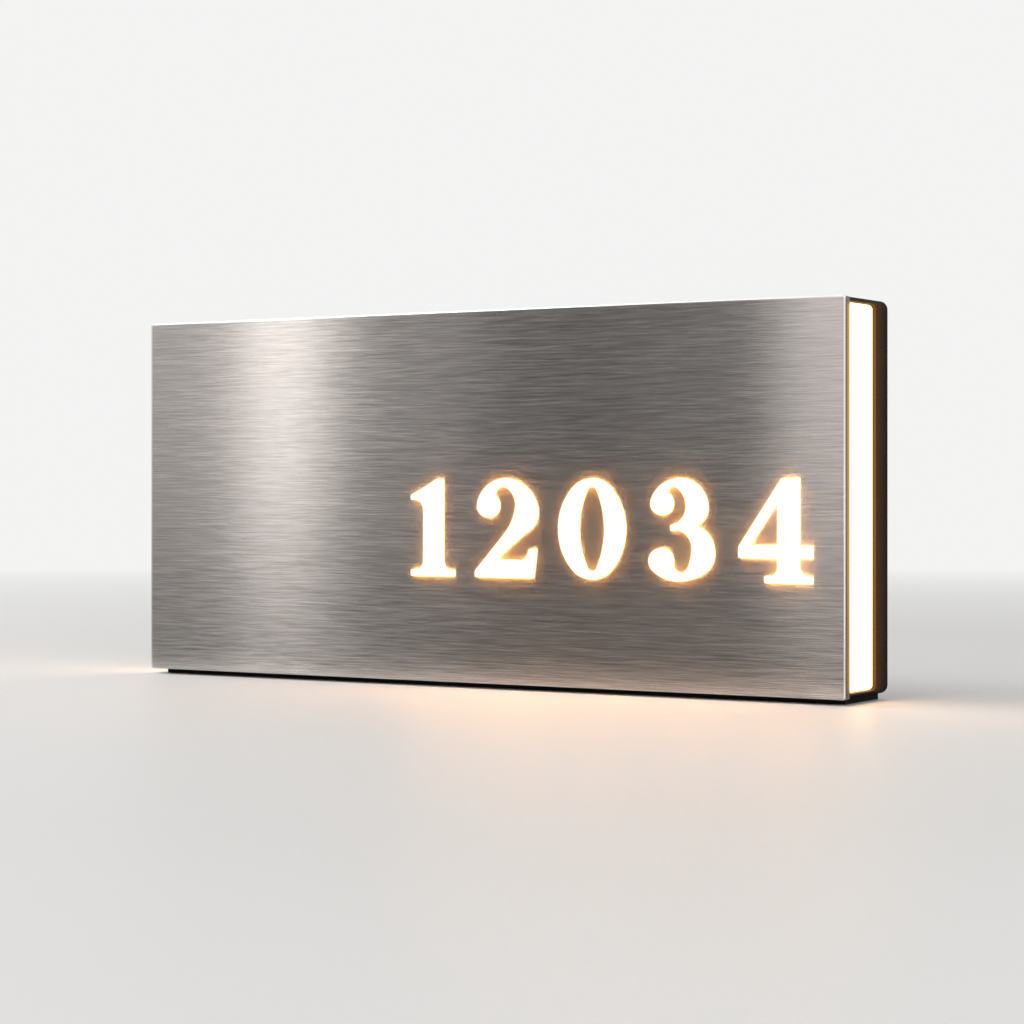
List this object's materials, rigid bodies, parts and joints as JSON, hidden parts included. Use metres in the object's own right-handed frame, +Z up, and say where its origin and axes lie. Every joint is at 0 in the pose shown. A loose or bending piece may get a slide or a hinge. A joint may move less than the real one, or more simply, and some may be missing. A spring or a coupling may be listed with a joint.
{
  "type": "illuminated house number sign",
  "caption": "Box-shaped lit house number sign: brushed steel face with push-through opal numerals, glowing acrylic block sides and a black wall housing.",
  "frame": {"origin": "on the standing surface, under the middle of the sign's bounding box", "axes": "+Z up, +X to the right as seen from the front, the steel face looks along -Y and the wall side along +Y"},
  "size_m": [0.33, 0.0414, 0.1522],
  "materials": {
    "brushed_steel": "stainless sheet, fine horizontal brushing, bright chamfer",
    "opal_lit": "opal acrylic, satin, lit warm white from inside",
    "numeral_lit": "opal acrylic, polished edges, lit warm white from inside",
    "black_powder": "black powder coat, fine texture",
    "black_rubber": "matt black rubber",
    "black_foam": "closed-cell foam",
    "foam_tape": "white acrylic foam tape",
    "plain_aluminium": "mill finish sheet",
    "plated_steel": "bright zinc plate",
    "brass": "turned brass",
    "white_film": "matt white reflective film",
    "board_white": "white solder mask",
    "led_yellow": "phosphor resin, lit",
    "wire_white": "silicone insulation",
    "wire_red": "silicone insulation",
    "wire_black": "silicone insulation",
    "connector_white": "moulded nylon",
    "driver_case": "potted case, fine spark texture",
    "terminal_grey": "moulded nylon",
    "vent_grey": "moulded plug"
  },
  "bodies": {
    "housing": {"rear_housing": "black_powder", "rim_gasket": "black_foam", "clamp_screws": "plated_steel", "foot_strip": "black_rubber", "driver_module": "driver_case", "terminal_block": "terminal_grey", "terminal_screws": "plated_steel", "module_screws": "plated_steel", "positive_leads": "wire_red", "negative_leads": "wire_black", "supply_socket": "connector_white", "socket_contacts": "brass", "cable_grommet": "black_rubber", "vent_plug": "vent_grey"},
    "light_box": {"face_pan": "brushed_steel", "bonding_tape": "foam_tape", "numeral_one": "numeral_lit", "numeral_two": "numeral_lit", "numeral_zero": "numeral_lit", "inlay_zero": "brushed_steel", "numeral_three": "numeral_lit", "numeral_four": "numeral_lit", "inlay_four": "brushed_steel", "opal_block": "opal_lit", "boss_inserts": "brass", "carrier_plate": "plain_aluminium", "carrier_screws": "plated_steel", "reflector_sheet": "white_film", "led_strip_top": "board_white", "led_strip_upper": "board_white", "led_strip_lower": "board_white", "led_strip_bottom": "board_white", "led_packages": "led_yellow", "strip_links": "wire_white", "board_lead_positive": "wire_red", "board_lead_negative": "wire_black", "supply_plug": "connector_white", "plug_pins": "plated_steel"}
  },
  "joints": [
    {"name": "light_box_slide", "type": "slide", "parent": "housing", "child": "light_box", "axis": [0, -1, 0], "range_m": [0, 0.035]}
  ]
}
